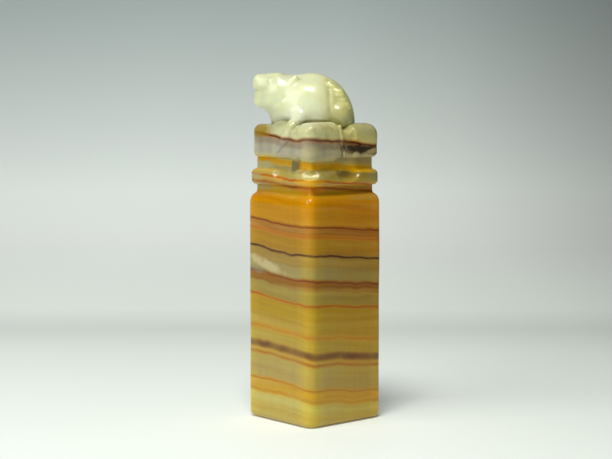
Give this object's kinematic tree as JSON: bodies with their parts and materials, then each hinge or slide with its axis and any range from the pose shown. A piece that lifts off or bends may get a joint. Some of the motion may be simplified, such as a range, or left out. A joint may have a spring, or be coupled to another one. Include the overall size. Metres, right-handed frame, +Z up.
{
  "type": "seal stamp",
  "caption": "Square stone seal with a banded column, saw-cut necks and a carved crouching beast as its grip.",
  "frame": {"origin": "centre of the printing face, on the surface that the seal stands on", "axes": "+Z up the column; the faces of the column look along X and Y; the beast's muzzle points to the corner of -X and +Y"},
  "size_m": [0.025, 0.025, 0.0888],
  "materials": {
    "banded_stone": "polished, translucent, with level bands of amber, cream, grey and dark brown",
    "pale_stone": "polished, translucent, creamy yellow-green with soft clouds"
  },
  "bodies": {
    "root": {"seal_face": "banded_stone", "shaft": "banded_stone", "lower_neck": "banded_stone", "lower_collar": "banded_stone", "upper_neck": "banded_stone", "neck_post": "banded_stone", "plinth": "banded_stone", "front_lobe": "banded_stone", "right_knob": "banded_stone", "left_knob": "banded_stone", "back_knob": "banded_stone", "beast_body": "pale_stone", "beast_head": "pale_stone", "lower_jaw": "pale_stone", "left_ear": "pale_stone", "right_ear": "pale_stone", "left_foreleg": "pale_stone", "right_foreleg": "pale_stone", "left_shoulder": "pale_stone", "right_shoulder": "pale_stone", "left_haunch": "pale_stone", "right_haunch": "pale_stone", "tail": "pale_stone"}
  },
  "joints": []
}
